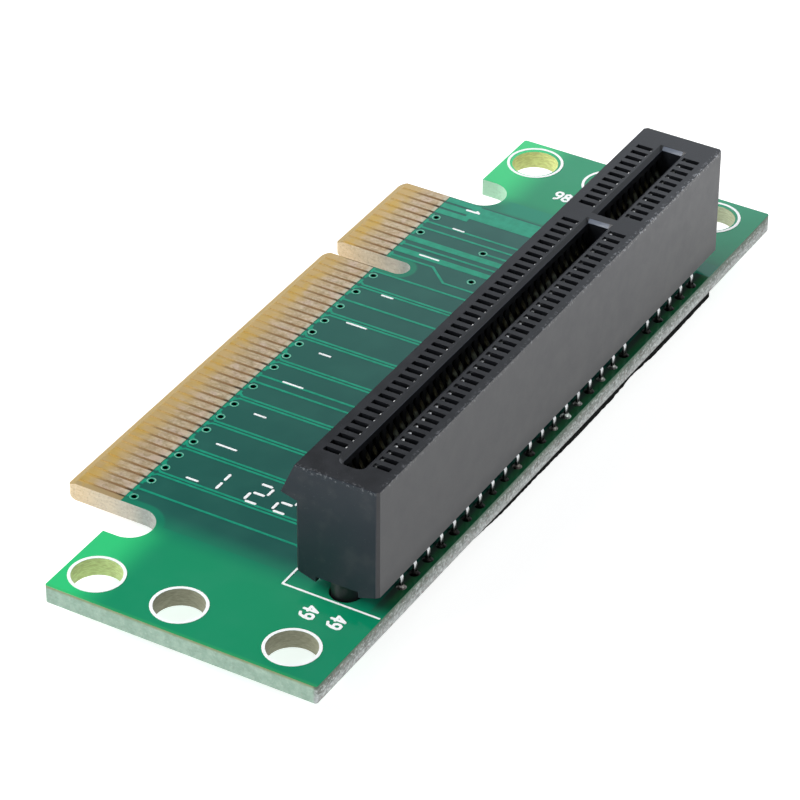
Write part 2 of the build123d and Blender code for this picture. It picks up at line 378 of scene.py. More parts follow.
def finger_gold():
    """Thin hard gold over nickel, dulled and wiped along by insertions."""
    finish, tree, surface, place = new_finish("hard_gold_plate", 0.45, 1.5, 0.5)
    x, y, z = node(tree, "ShaderNodeSeparateXYZ", {0: place}).outputs
    wipes = grain(tree, place, 0.25, 4.0, 0.6, (1.6, 0.25, 1))
    patches = grain(tree, place, 1.3)
    specks = grain(tree, place, 0.4, 3.0, 0.7)
    metal = tint(tree, "#b6a07c", wipes, 0.3, 0.7, "#dfcdae")
    # Every finger was wiped a little differently
    fingers = grain(tree, place, 0.9, 1.0, 0.5, (1.0, 0.12, 1))
    metal = tint(tree, metal, fingers, 0.35, 0.65, "#c9aa83", 0.5)
    metal = tint(tree, metal, patches, 0.48, 0.66, "#e0c8b4", 0.7)
    metal = tint(tree, metal, specks, 0.52, 0.66, "#eedfc4", 0.45)
    metal = tint(tree, metal, specks, 0.45, 0.34, "#9c7f55", 0.45)
    # The plating thins to a warmer tone towards the tip, with stains of flux
    metal = tint(tree, metal, wander(tree, y, patches, 2.0), -22.5, -25.0, "#d6b67a")
    metal = blend_colour(tree, yellow_blotches(tree, place, y), metal, "#dcb448")
    # Skin oil and mask bleed leave a paler, greener margin by the mask
    metal = tint(tree, metal, y, -21.45, -21.15, "#d8d6c0", 0.6)
    tree.links.new(metal, surface.inputs["Base Color"])
    tree.links.new(band(tree, wipes, 0.3, 0.7, 0.36, 0.55), surface.inputs["Roughness"])
    relief(tree, surface, wipes, 0.004, 0.7)
    return finish


def legend_ink():
    """Screened white epoxy ink: matt, with fine pinholes from the screen's mesh."""
    finish, tree, surface, place = new_finish("white_legend_ink", 0.55, 1.5)
    pinholes = grain(tree, place, 0.12, 2.0)
    ink = tint(tree, "#ffffff", pinholes, 0.38, 0.3, "#d3e6de", 0.35)
    tree.links.new(ink, surface.inputs["Base Color"])
    relief(tree, surface, pinholes, 0.004, 0.6)
    return finish


def moulded_black():
    """Black glass-filled nylon, injection moulded: a faint sheen with flow mottling, and pale
    scuffs and flash along the arrises."""
    finish, tree, surface, place = new_finish("glass_filled_nylon", 0.37, 1.53)
    x, y, z = node(tree, "ShaderNodeSeparateXYZ", {0: place}).outputs
    top, end = HOUSING_HIGH.z, HOUSING_HIGH.x
    mottling = grain(tree, place, 1.4, 4.0, 0.6)
    body = tint(tree, "#121316", mottling, 0.3, 0.7, "#1c1d21")
    # Painted sheen: the tall side is painted a lighter grey towards its top and most towards the short end,
    # for the light it reflects
    tall_side = band(tree, y, 3.5, 3.6)
    side_sheen = overlap(tree, tall_side, band(tree, z, 2.0, 11.0), band(tree, x, 30.0, -6.0, 0.12, 0.52))
    body = blend_colour(tree, side_sheen, body, "#323237")
    # The long end is painted a deep blue-black, a painted reflection standing in for the cool light it
    # reflects, with a few smudges
    long_end_face = band(tree, x, end - 0.1, end)
    body = blend_colour(tree, long_end_face, body, "#02101f")
    smudges = overlap(tree, long_end_face, band(tree, grain(tree, place, 1.8, 4.0), 0.5, 0.7, 0.0, 0.6))
    body = blend_colour(tree, smudges, body, "#20242b")
    # Scuffs gather along the top arrises of the tall side and, fainter, of the long end
    along_side = overlap(tree, band(tree, y, 3.1, 3.5), band(tree, x, 22.0, -4.0, 0.35, 0.8))
    along_end = band(tree, x, end - 0.45, end - 0.1, 0.0, 0.3)
    flecks = overlap(
        tree,
        band(tree, z, top - 0.5, top - 0.15),
        strongest(tree, along_side, along_end),
        band(tree, grain(tree, place, 0.26, 4.0, 0.75), 0.53, 0.62),
    )
    body = blend_colour(tree, flecks, body, "#9c9ea2")
    # A little dust lies on it
    body = tint(tree, body, grain(tree, place, 0.1, 1.0, 0.5), 0.74, 0.79, "#8e9094", 0.35)
    # The ramps at the slots' ends are painted a pale bluish grey: a painted highlight of the light they face
    off_slot = distance(tree, y)
    along = distance(tree, x, SLOT_MIDDLE)
    ramp_highlight = overlap(
        tree,
        band(tree, off_slot, 0.95, 0.85),
        band(tree, z, top - 0.36, top - 0.28),
        band(tree, z, top - 0.02, top - 0.05),
        band(tree, along, SLOT_HALF + 2.5, SLOT_HALF + 2.2),
        band(tree, x, 39.2, 38.9),
    )
    body = blend_colour(tree, ramp_highlight, body, "#565d6b")
    # Down the contact cavities the walls are painted near black and shine less: painted shade, as hardly any
    # light gets out
    sunk = overlap(
        tree,
        band(tree, off_slot, 3.3, 3.2),
        band(tree, off_slot, 0.95, 1.05),
        band(tree, z, top - 0.12, top - 0.5),
        band(tree, along, SLOT_HALF + 0.9, SLOT_HALF + 0.6),
    )
    body = blend_colour(tree, sunk, body, "#050506")
    # The foot of the tall side faces the card's own shadow, and the long end shines less towards its top
    foot = overlap(tree, tall_side, band(tree, z, 3.4, 1.7), 0.42)
    sleek = overlap(tree, long_end_face, band(tree, z, 2.5, 8.0, 0.0, 0.36))
    shade = strongest(tree, sunk, foot, sleek)
    tree.links.new(band(tree, shade, 0.0, 1.0, 0.5, 0.12), surface.inputs["Specular IOR Level"])
    tree.links.new(body, surface.inputs["Base Color"])
    tree.links.new(band(tree, mottling, 0.25, 0.75, 0.33, 0.41), surface.inputs["Roughness"])
    texture = fold(tree, "ADD", grain(tree, place, 0.09, 2.0), overlap(tree, mottling, 0.6))
    relief(tree, surface, texture, 0.006, 0.8)
    return finish


def tinned_bronze():
    """Formed phosphor bronze: bright tin on the tails, nickel up the springs painted a dark grey as painted
    shade down in the slot, with a thin gold flash where they touch."""
    finish, tree, surface, place = new_finish("tinned_phosphor_bronze", 0.3, 1.5, 1.0)
    x, y, z = node(tree, "ShaderNodeSeparateXYZ", {0: place}).outputs
    drawn = grain(tree, place, 0.12, 3.0, 0.6, (1, 1, 0.15))
    tin = tint(tree, "#b9bbbc", drawn, 0.3, 0.7, "#e2e3e3")
    # The springs' nickel is painted dark: painted shade, as they stand down in the slot
    nickel = tint(tree, "#3f4441", drawn, 0.3, 0.7, "#646a66")
    # Painted shadow: the foot of each tail is painted near black, where it stands in the housing's shade
    tin = tint(tree, tin, z, 0.85, 0.45, "#2a2927", 0.93)
    metal = tint(tree, tin, z, 1.0, 3.0, nickel)
    touch = overlap(tree, band(tree, z, 7.6, 8.6), band(tree, z, 9.9, 9.4), 0.4)
    metal = blend_colour(tree, touch, metal, "#7d6a45")
    # The sheared tips are painted white and made less metallic: a painted glint where they catch the light
    uneven = band(tree, grain(tree, place, 0.9, 1.0), 0.38, 0.6, 0.25, 1.0)
    tip = overlap(tree, band(tree, z, 10.9, 11.05), uneven)
    metal = blend_colour(tree, tip, metal, "#ffffff")
    # Painted glints: patches up the springs are painted a pale green-grey and made less metallic, for the
    # light that glints off them in the slot
    patchy = band(tree, grain(tree, place, 1.1, 1.0), 0.4, 0.62, 0.12, 0.9)
    spring_glints = overlap(tree, band(tree, z, 8.45, 8.85), band(tree, z, 9.55, 9.15), patchy)
    metal = blend_colour(tree, spring_glints, metal, "#9aa294")
    # The painted glints and tips are made less metallic
    matt = strongest(tree, tip, overlap(tree, spring_glints, 0.75))
    tree.links.new(band(tree, matt, 0.0, 1.0, 1.0, 0.1), surface.inputs["Metallic"])
    tree.links.new(metal, surface.inputs["Base Color"])
    relief(tree, surface, drawn, 0.004, 0.6)
    return finish


def set_solder():
    """Tin-lead solder, hand run: dull grey and frosted where it set, and painted near black on the socket's
    side, a painted shadow under the housing."""
    finish, tree, surface, place = new_finish("set_solder", 0.3, 1.5, 1.0)
    x, y, z = node(tree, "ShaderNodeSeparateXYZ", {0: place}).outputs
    frosting = grain(tree, place, 0.3, 4.0, 0.6)
    metal = tint(tree, "#565857", frosting, 0.35, 0.7, "#9b9c9a")
    # Painted shadow: on the socket's side all joints but a few paler ones are painted near black, in the
    # housing's shade
    shaded_solder = tint(tree, "#100f0e", frosting, 0.35, 0.7, "#2f2e2b")
    for joint_x, shade in PALER_JOINTS:
        shaded_solder = tint(tree, shaded_solder, distance(tree, x, joint_x), 0.9, 0.7, shade)
    metal = tint(tree, metal, z, -0.4, -0.2, shaded_solder)
    tree.links.new(metal, surface.inputs["Base Color"])
    tree.links.new(band(tree, frosting, 0.35, 0.7, 0.25, 0.5), surface.inputs["Roughness"])
    relief(tree, surface, frosting, 0.02, 0.7)
    return finish


def via_wall():
    """The plated wall down a via, painted near black with little shine: painted shade down the hole."""
    finish, tree, surface, place = new_finish("plated_via_wall", 0.9, 1.5)
    tone = blend_colour(tree, grain(tree, place, 0.2), "#020504", "#07120e")
    tree.links.new(tone, surface.inputs["Base Color"])
    surface.inputs["Specular IOR Level"].default_value = 0.05
    return finish


def cut_foam():
    """Soft black foam strip, knife cut: deep matt with open cells."""
    finish, tree, surface, place = new_finish("black_foam_rubber", 0.92, 1.45)
    voronoi = node(tree, "ShaderNodeTexVoronoi", {"Vector": place, "Scale": 1 / 0.28})
    cells = voronoi.outputs["Distance"]
    tree.links.new(blend_colour(tree, cells, "#020202", "#0d0d0d"), surface.inputs["Base Color"])
    relief(tree, surface, cells, 0.05, 0.8)
    surface.inputs["Specular IOR Level"].default_value = 0.1
    return finish


def lit_sheet():
    """The plain opal sheet that the card lies on, lit from behind."""
    finish, tree, surface, place = new_finish("lit_opal_sheet", 0.8, 1.45)
    tone = blend_colour(tree, grain(tree, place, 40.0, 1.0), "#b5b5b5", "#b8b8b7")
    tree.links.new(tone, surface.inputs["Base Color"])
    tree.links.new(tone, surface.inputs["Emission Color"])
    surface.inputs["Emission Strength"].default_value = 1.8
    return finish


MASK = solder_mask()
MASK_COPPER = mask_over_copper()
RIM_HIGHLIGHT = thin_mask_lip()
LAMINATE = glass_epoxy()
DRILLED = drilled_laminate()
BARE = bare_tab()
GOLD = finger_gold()
INK = legend_ink()
PLASTIC = moulded_black()
TINNED = tinned_bronze()
SOLDER = set_solder()
VIA_WALL = via_wall()
FOAM = cut_foam()
SHEET = lit_sheet()


# Mesh helpers


def add_piece(name, content):
    """A new object at the origin, with its place in its mesh, lamp or curve."""
    piece = bpy.data.objects.new(name, content)
    bpy.context.scene.collection.objects.link(piece)
    return piece


def wires(name, runs, closed=False):
    """Runs of points, in millimetres, as bare edges for a node tree to work on."""
    points, edges = [], []
    for run in runs:
        first = len(points)
        points += [Vector(p).to_3d() * MM for p in run]
        edges += [(i, i + 1) for i in range(first, len(points) - 1)]
        if closed:
            edges.append((len(points) - 1, first))
    mesh = bpy.data.meshes.new(name)
    mesh.from_pydata(points, edges, [])
    return add_piece(name, mesh)


def smooth(mesh, angle=35):
    """Smooth shading, with edges sharper than angle kept."""
    mesh.polygons.foreach_set("use_smooth", [True] * len(mesh.polygons))
    mesh.set_sharp_from_angle(angle=math.radians(angle))


def plain_mesh(build, name, *finishes):
    """Ends a built mesh, with its finishes."""
    mesh = bpy.data.meshes.new(name)
    for finish in finishes:
        mesh.materials.append(finish)
    build.to_mesh(mesh)
    build.free()
    return mesh


def settle(piece):
    """Applies a piece's modifiers, so that a plain mesh stays."""
    view = bpy.context.evaluated_depsgraph_get()
    result = bpy.data.meshes.new_from_object(piece.evaluated_get(view))
    piece.modifiers.clear()
    piece.data = result
    result.name = piece.name
    return piece


def work(piece, tree, **inputs):
    """Puts a piece through a node tree and keeps the result as its plain mesh."""
    modifier = piece.modifiers.new(tree.name, "NODES")
    modifier.node_group = tree
    sockets = [item for item in tree.interface.items_tree if item.in_out == "INPUT"]
    identifiers = {item.name: item.identifier for item in sockets}
    for name, value in inputs.items():
        modifier[identifiers[name.replace("_", " ")]] = value
    return settle(piece)


def begin_tree(name, sockets):
    """A node tree with named inputs, and the outputs that give them."""
    tree = bpy.data.node_groups.new(name, "GeometryNodeTree")
    tree.interface.new_socket("Geometry", in_out="INPUT", socket_type="NodeSocketGeometry")
    for label, (kind, value) in sockets.items():
        socket = tree.interface.new_socket(label, in_out="INPUT", socket_type="NodeSocket" + kind)
        if value is not None:
            socket.default_value = value
    tree.interface.new_socket("Geometry", in_out="OUTPUT", socket_type="NodeSocketGeometry")
    return tree, tree.nodes.new("NodeGroupInput").outputs


def end_tree(tree, geometry, finish):
    """Realises whatever is instanced, gives it its finish and closes the tree."""
    real = node(tree, "GeometryNodeRealizeInstances", {0: geometry})
    coated = node(tree, "GeometryNodeSetMaterial", {"Geometry": real.outputs[0], "Material": finish})
    node(tree, "NodeGroupOutput", {0: coated.outputs[0]})
    return tree


def level_path(tree, geometry, bend_radius=None):
    """Wires as a curve whose section stays level, with rounded bends if asked."""
    path = node(tree, "GeometryNodeMeshToCurve", {0: geometry})
    if bend_radius is not None:
        bends = {"Curve": path.outputs[0], "Count": 5, "Radius": bend_radius, "Limit Radius": True}
        path = node(tree, "GeometryNodeFilletCurve", bends, mode="POLY")
    return node(tree, "GeometryNodeSetCurveNormal", {0: path.outputs[0]}, mode="Z_UP").outputs[0]


def etched_run_tree():
    """Sweeps a low trapezium along wires: an etched run, a printed line or a land's ring."""
    sizes = {"Width": ("Float", 0.2 * MM), "Height": ("Float", 0.035 * MM), "Shoulder": ("Float", 0.02 * MM)}
    tree, given = begin_tree("etched_run", {**sizes, "Finish": ("Material", None)})
    path = level_path(tree, given["Geometry"])
    top = fold(tree, "SUBTRACT", given["Width"], given["Shoulder"])
    sides = {"Height": given["Height"], "Bottom Width": given["Width"], "Top Width": top, "Offset": 0.0}
    section = node(tree, "GeometryNodeCurvePrimitiveQuadrilateral", sides, mode="TRAPEZOID")
    swept = {"Curve": path, "Profile Curve": section.outputs[0], "Fill Caps": True}
    sweep = node(tree, "GeometryNodeCurveToMesh", swept)
    facets = {"Geometry": sweep.outputs[0], "Shade Smooth": False}
    return end_tree(tree, node(tree, "GeometryNodeSetShadeSmooth", facets).outputs[0], given["Finish"])


def set_out_tree():
    """Sets a copy of one piece at each point, turned and sized a little by a seeded draw."""
    draws = {"Size spread": ("Float", 0.0), "Lean": ("Float", 0.0), "Seed": ("Int", 3)}
    tree, given = begin_tree("set_out", {"Piece": ("Object", None), **draws, "Finish": ("Material", None)})
    piece = node(tree, "GeometryNodeObjectInfo", {"Object": given["Piece"]})
    small = fold(tree, "SUBTRACT", 1.0, given["Size spread"])
    large = fold(tree, "ADD", 1.0, given["Size spread"])
    drawn = {2: small, 3: large, 8: given["Seed"]}
    size = node(tree, "FunctionNodeRandomValue", drawn, data_type="FLOAT")
    back = fold(tree, "SUBTRACT", 0.0, given["Lean"])
    least = node(tree, "ShaderNodeCombineXYZ", {0: back, 1: back, 2: 0.0})
    greatest = node(tree, "ShaderNodeCombineXYZ", {0: given["Lean"], 1: given["Lean"], 2: 0.0})
    drawn = {0: least.outputs[0], 1: greatest.outputs[0], 8: given["Seed"]}
    lean = node(tree, "FunctionNodeRandomValue", drawn, data_type="FLOAT_VECTOR")
    turn = node(tree, "GeometryNodeInputNamedAttribute", {0: "turn"}, data_type="FLOAT_VECTOR")
    turned = {0: turn.outputs[0], 1: lean.outputs[0]}
    attitude = node(tree, "ShaderNodeVectorMath", turned, operation="ADD").outputs[0]
    placed = {
        "Points": given["Geometry"],
        "Instance": piece.outputs["Geometry"],
        "Rotation": node(tree, "FunctionNodeEulerToRotation", {0: attitude}).outputs[0],
        "Scale": size.outputs[1],
    }
    copies = node(tree, "GeometryNodeInstanceOnPoints", placed)
    return end_tree(tree, copies.outputs[0], given["Finish"])


def formed_strip_tree():
    """Sweeps the strip's section along its path, with round bends and a pointed tail."""
    sizes = {"Thickness": 0.22, "Width": 0.4, "Bend radius": 0.35, "Point length": 0.5}
    sockets = {label: ("Float", size * MM) for label, size in sizes.items()}
    tree, given = begin_tree("formed_strip", {**sockets, "Finish": ("Material", None)})
    path = level_path(tree, given["Geometry"], given["Bend radius"])
    sides = {"Width": given["Thickness"], "Height": given["Width"]}
    section = node(tree, "GeometryNodeCurvePrimitiveQuadrilateral", sides, mode="RECTANGLE")
    easing = {"Curve": section.outputs[0], "Count": 2, "Radius": 0.04 * MM}
    eased = node(tree, "GeometryNodeFilletCurve", easing, mode="POLY")
    along = node(tree, "GeometryNodeSplineParameter").outputs["Length"]
    taper = {0: along, 1: 0.0, 2: given["Point length"], 3: 0.55, 4: 1.0}
    point = node(tree, "ShaderNodeMapRange", taper).outputs[0]
    swept = {"Curve": path, "Profile Curve": eased.outputs[0], "Scale": point, "Fill Caps": True}
    sweep = node(tree, "GeometryNodeCurveToMesh", swept)
    stood = {"Geometry": sweep.outputs[0], "Rotation": (math.pi / 2, 0.0, math.pi / 2)}
    return end_tree(tree, node(tree, "GeometryNodeTransform", stood).outputs[0], given["Finish"])


ETCHED_RUN = etched_run_tree()
SET_OUT = set_out_tree()
FORMED_STRIP = formed_strip_tree()


def set_out(name, piece, places, finish, turn=(0, 0, 0), size_spread=0.0, lean=0.0, seed=3):
    """One mesh of copies of piece, at places in millimetres. The single piece is used up."""
    mesh = bpy.data.meshes.new(name)
    mesh.from_pydata([Vector(p) * MM for p in places], [], [])
    for value in mesh.attributes.new("turn", "FLOAT_VECTOR", "POINT").data:
        value.vector = turn
    group = add_piece(name, mesh)
    work(group, SET_OUT, Piece=piece, Size_spread=size_spread, Lean=lean, Seed=seed, Finish=finish)
    bpy.data.objects.remove(piece)
    return group


def fit(piece, slot, *replaced):
    """Lets a finished piece ride on the card and stand for its solids, which are hidden. Its slot is not
    used.
    """
    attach(piece, BODY)
    if replaced:
        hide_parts(*replaced)
    return piece


def arc(centre_x, centre_y, radius, start, end, steps=16):
    """Points round an arc, its angles in degrees."""
    angles = [math.radians(start + (end - start) * i / steps) for i in range(steps + 1)]
    return [(centre_x + radius * math.cos(a), centre_y + radius * math.sin(a)) for a in angles]


def circle(centre_x, centre_y, radius, steps):
    """Points round a full circle, each once."""
    return arc(centre_x, centre_y, radius, 0, 360, steps)[:-1]


# The board

CORNER = 0.25
TAB_CORNER = 0.5
KEY_MOUTH = 0.45
WING_EDGE = -20.0
TAB_TIP = BOARD_LOW.y


def board_outline():
    """The routed outline, anticlockwise from the short end's front corner."""
    low_x, high_x, back = BOARD_LOW.x, BOARD_HIGH.x, BOARD_HIGH.y
    (short_x, short_y, short_r), (long_x, long_y, long_r) = RELIEFS
    key_x, key_y, key_r = KEY_NOTCH
    tip, mouth = TAB_TIP + TAB_CORNER, TAB_TIP + KEY_MOUTH
    points = arc(low_x + CORNER, WING_EDGE + CORNER, CORNER, 180, 270, 8)
    points += [(short_x - short_r, WING_EDGE)] + arc(short_x, short_y, short_r, 180, 0, 28)
    points += arc(TAB_LOW_X + TAB_CORNER, tip, TAB_CORNER, 180, 270, 8)
    points += arc(key_x - key_r - KEY_MOUTH, mouth, KEY_MOUTH, 270, 360, 6)
    points += arc(key_x, key_y, key_r, 180, 0, 20)
    points += arc(key_x + key_r + KEY_MOUTH, mouth, KEY_MOUTH, 180, 270, 6)
    points += arc(TAB_HIGH_X - TAB_CORNER, tip, TAB_CORNER, 270, 360, 8)
    points += arc(long_x, long_y, long_r, 180, 0, 28) + [(long_x + long_r, WING_EDGE)]
    points += arc(high_x - CORNER, WING_EDGE + CORNER, CORNER, 270, 360, 8)
    points += arc(high_x - CORNER, back - CORNER, CORNER, 0, 90, 8)
    return points + arc(low_x + CORNER, back - CORNER, CORNER, 90, 180, 8)


HOLE_INSET = 3.1
HOLE_ENDS = (BOARD_LOW.x + HOLE_INSET, BOARD_HIGH.x - HOLE_INSET)
MOUNTING_HOLES = [(x, y) for x in HOLE_ENDS for y in (0.0, -9.9, -17.3)]
HOLE_RADIUS = 2.0
PEG_HOLES = [(0.0, 0.0), (HOUSING_HIGH.x - 1.35, 0.0)]
PEG_HOLE_RADIUS = 1.3
VIA_ROW_Y = -20.35
VIA_RADIUS = 0.23
# Ground contacts of the side that shows, and where along the numbers each has its via
GROUND_VIAS = {
    4: 4.1, 7: 6.8, 13: 12.7, 16: 15.55, 18: 18.1, 21: 20.6, 22: 22.55, 25: 24.6, 26: 26.6, 29: 28.5,
    32: 31.7, 35: 34.55, 36: 36.6, 39: 38.7, 40: 40.6, 43: 42.7, 44: 44.65, 47: 46.65, 49: 49.1,
}
SPARE_VIAS = [(-5.87, -14.1), (-1.55, -12.8)]


def number_x(place_in_numbers):
    """The x of a place between edge fingers, given in contact numbers."""
    low = math.floor(place_in_numbers)
    return finger_x(low) + (place_in_numbers - low)


VIAS = [(number_x(spot), VIA_ROW_Y) for spot in GROUND_VIAS.values()] + SPARE_VIAS


def near_one(point, places, reach):
    """Whether a point lies within reach of one of the places, seen from above."""
    return any(math.hypot(point.x - x * MM, point.y - y * MM) < reach * MM for x, y in places)


ARRIS = 0.03 * MM
BEVEL_LENGTH, BEVEL_DEPTH = 0.7, 0.35
THICKNESS = (BOARD_HIGH.z - BOARD_UNDER) * MM
BOARD_FINISHES = (MASK, LAMINATE, BARE, VIA_WALL, DRILLED)


def pressed_board():
    """The outline with every hole, drawn out to the board's thickness."""
    curve = bpy.data.curves.new("board_outline", "CURVE")
    curve.dimensions = "2D"
    curve.fill_mode = "BOTH"
    loops = [board_outline()]
    loops += [circle(x, y, HOLE_RADIUS, 64) for x, y in MOUNTING_HOLES]
    loops += [circle(x, y, PEG_HOLE_RADIUS, 40) for x, y in PEG_HOLES]
    loops += [circle(x, y, VIA_RADIUS, 14) for x, y in VIAS]
    for loop in loops:
        spline = curve.splines.new("POLY")
        spline.points.add(len(loop) - 1)
        for point, (x, y) in zip(spline.points, loop):
            point.co = (x * MM, y * MM, 0, 1)
        spline.use_cyclic_u = True
    curve.extrude = THICKNESS / 2 - ARRIS
    curve.bevel_depth = ARRIS
    curve.bevel_resolution = 1
    curve.offset = -ARRIS
    board = add_piece("routed_board", curve)
    view = bpy.context.evaluated_depsgraph_get()
    mesh = bpy.data.meshes.new_from_object(board.evaluated_get(view))
    bpy.data.objects.remove(board)
    mesh.transform(Matrix.Translation((0, 0, -THICKNESS / 2)))
    return mesh


def board_finish(face):
    """Which of the board's finishes a face has."""
    centre = face.calc_center_median()
    level = abs(face.normal.z) > 0.8
    if level and centre.y > FINGER_TOP * MM:
        return MASK
    if near_one(centre, VIAS, VIA_RADIUS * 1.15):
        return VIA_WALL
    if level:
        return BARE
    return DRILLED if near_one(centre, MOUNTING_HOLES, HOLE_RADIUS * 1.02) else LAMINATE


def routed_board():
    """The board as it is drilled and routed: mask above and below, laminate round the edge."""
    build = bmesh.new()
    build.from_mesh(pressed_board())
    bmesh.ops.remove_doubles(build, verts=build.verts, dist=0.002 * MM)
    # Cut lines where the tip's bevels begin and where the mask stops at the fingers' inner ends
    bevel_y = (TAB_TIP + BEVEL_LENGTH) * MM
    for cut_y in (bevel_y, FINGER_TOP * MM):
        geometry = build.verts[:] + build.edges[:] + build.faces[:]
        bmesh.ops.bisect_plane(build, geom=geometry, plane_co=(0, cut_y, 0), plane_no=(0, 1, 0), dist=1e-9)
    # Past the bevels' line both faces are drawn in towards the tip
    for vert in build.verts:
        past = bevel_y - vert.co.y
        if past > 1e-9:
            drop = past * BEVEL_DEPTH / BEVEL_LENGTH
            if vert.co.z > -THICKNESS / 2:
                vert.co.z = min(vert.co.z, -drop)
            else:
                vert.co.z = max(vert.co.z, drop - THICKNESS)
    bmesh.ops.recalc_face_normals(build, faces=build.faces)
    for face in build.faces:
        face.material_index = BOARD_FINISHES.index(board_finish(face))
    mesh = plain_mesh(build, "routed_board", *BOARD_FINISHES)
    smooth(mesh, 30)
    # The two faces stay dead flat up to their arrises
    for face in mesh.polygons:
        face.use_smooth = abs(face.normal.z) < 0.99
    return fit(add_piece("routed_board", mesh), "solder_mask_board", "circuit_board")


routed_board()

# Etched runs under the mask

RUN_H = 0.018
PAIR_HALF = 0.185
LANDING = VIA_RADIUS + 0.08
# What each face carries, by contact number: pairs by their lower number, lone runs, supply
# runs, and ground fingers with the place along the numbers of their vias
FRONT = {
    "side": 1,
    "pairs": [14, 19, 23, 27, 33, 37, 41, 45],
    "lone": [5, 6, 9, 12, 17, 30, 31, 48],
    "supply": [8, 10],
    "short supply": [1, 2, 3],
    "ground": GROUND_VIAS,
}
BACK = {
    "side": -1,
    "pairs": [13, 16, 21, 25, 29, 35, 39, 43, 47],
    "lone": [1, 5, 6, 8, 11, 19, 32, 33],
    "supply": [9, 10],
    "short supply": [2, 3],
    "ground": {
        4: 4.1, 12: 12.7, 15: 15.55, 18: 18.1, 20: 20.6, 23: 22.55, 24: 24.6, 27: 26.6, 28: 28.5,
        31: 31.7, 34: 34.55, 37: 36.6, 38: 38.7, 41: 40.6, 42: 42.7, 45: 44.65, 46: 46.65, 49: 49.1,
    },
}
TRUNK_END = -6.2


def tail_row(number, face):
    """Where a contact's tail stands across the board. Each face's runs reach the nearer tails."""
    outer = number % 2 == (face["side"] > 0)
    return -face["side"] * (OUTER_ROW if outer else INNER_ROW)


def straight_run(number, face):
    """A run straight up from a finger, with a short jog to the contact's own tail."""
    start, end = finger_x(number), contact_x(number)
    return [(start, FINGER_TOP), (start, TRUNK_END), (end, TRUNK_END + 0.6), (end, tail_row(number, face))]


def signal_runs(face):
    """Thin runs from the fingers to the socket's tails."""
    runs = [straight_run(number, face) for number in face["lone"]]
    for lower in face["pairs"]:
        middle = (finger_x(lower) + finger_x(lower + 1)) / 2
        for own, line in ((lower, middle - PAIR_HALF), (lower + 1, middle + PAIR_HALF)):
            root = [(finger_x(own), FINGER_TOP), (finger_x(own), FINGER_TOP + 0.25)]
            trunk = [(line, FINGER_TOP + 0.6), (line, TRUNK_END)]
            end = contact_x(own)
            runs.append(root + trunk + [(end, TRUNK_END + 0.9), (end, tail_row(own, face))])
    # Contact 7 changes faces at its own via
    spare_x, spare_y = SPARE_VIAS[0]
    if face is BACK:
        return runs + [[(finger_x(7), FINGER_TOP), (spare_x, spare_y - LANDING)]]
    end, start = contact_x(7), spare_y + LANDING
    runs.append([(spare_x, start), (spare_x, -6.0), (end, -5.4), (end, -OUTER_ROW)])
    # The run beside the key steps round the notch's end
    start, end, step_x = finger_x(KEY_AFTER), contact_x(KEY_AFTER), -0.2
    stepped = [(start, FINGER_TOP), (start, -16.7), (step_x, -14.75), (step_x, -6.4)]
    return runs + [stepped + [(end, -5.4), (end, -OUTER_ROW)]]


def ground_stubs(face):
    """Short wide runs from each ground finger to the land of its via."""
    stubs = []
    for number, spot in face["ground"].items():
        start, via = Vector((finger_x(number), FINGER_TOP + 0.05)), Vector((number_x(spot), VIA_ROW_Y))
        stubs.append([start, via - (via - start).normalized() * LANDING])
    return stubs


def supply_runs(face):
    """Wider runs for the supply contacts."""
    runs = [straight_run(number, face) for number in face["supply"]]
    return runs + [[(finger_x(n), FINGER_TOP), (finger_x(n), -17.8)] for n in face["short supply"]]


def finger_roots(face):
    """Where each finger's copper runs on under the edge of the mask."""
    return [[(finger_x(n), FINGER_TOP), (finger_x(n), FINGER_TOP + 0.3)] for n in CONTACTS]


def supply_area(face):
    """The broad copper that gathers the first supply fingers."""
    return [[(-11.09, -18.3), (-11.09, -3.0)]]


# Each kind of run, with its width and how much narrower its top is
TRACK_CLASSES = [
    (signal_runs, 0.24, 0.05),
    (ground_stubs, 0.42, 0.08),
    (supply_runs, 0.72, 0.08),
    (finger_roots, 0.7, 0.06),
    (supply_area, 2.02, 0.1),
]
for face, label, level in ((FRONT, "front", 0.0), (BACK, "back", BOARD_UNDER)):
    for order, (layout, width, shoulder) in enumerate(TRACK_CLASSES):
        # Classes differ by a hair in height, so that no two tops lie in one plane
        sunk = 0.002 + 0.0012 * order
        z = level + face["side"] * (RUN_H / 2 - sunk)
        track = work(
            wires(f"{label}_{layout.__name__}", [[(x, y, z) for x, y in run] for run in layout(face)]),
            ETCHED_RUN,
            Width=width * MM,
            Height=RUN_H * MM,
            Shoulder=face["side"] * shoulder * MM,
            Finish=MASK_COPPER,
        )
        fit(track, "solder_mask_board")


def flat_ring(radius, width, height, finish):
    """A ring with a low trapezium section, level with the ground at z = 0."""
    ring = wires("ring", [[(x, y, height / 2) for x, y in circle(0, 0, radius, 40)]], closed=True)
    sizes = {"Width": width * MM, "Height": height * MM, "Shoulder": 0.02 * MM}
    return work(ring, ETCHED_RUN, **sizes, Finish=finish)


LAND_RADIUS = 0.4
LAND = ("via_lands", (LAND_RADIUS + VIA_RADIUS) / 2, LAND_RADIUS - VIA_RADIUS, RUN_H, MASK_COPPER)
# The rims are pale rings of painted highlight
RIM = ("via_rims", 0.335, 0.07, RUN_H + 0.006, RIM_HIGHLIGHT)
for label, level, turn in (("front", 0.001, 0.0), ("back", BOARD_UNDER - 0.001, math.pi)):
    for kind, radius, width, height, finish in (LAND, RIM):
        ring = flat_ring(radius, width, height, finish)
        spots = [(x, y, level) for x, y in VIAS]
        fit(set_out(f"{label}_{kind}", ring, spots, finish, (turn, 0, 0)), "solder_mask_board")

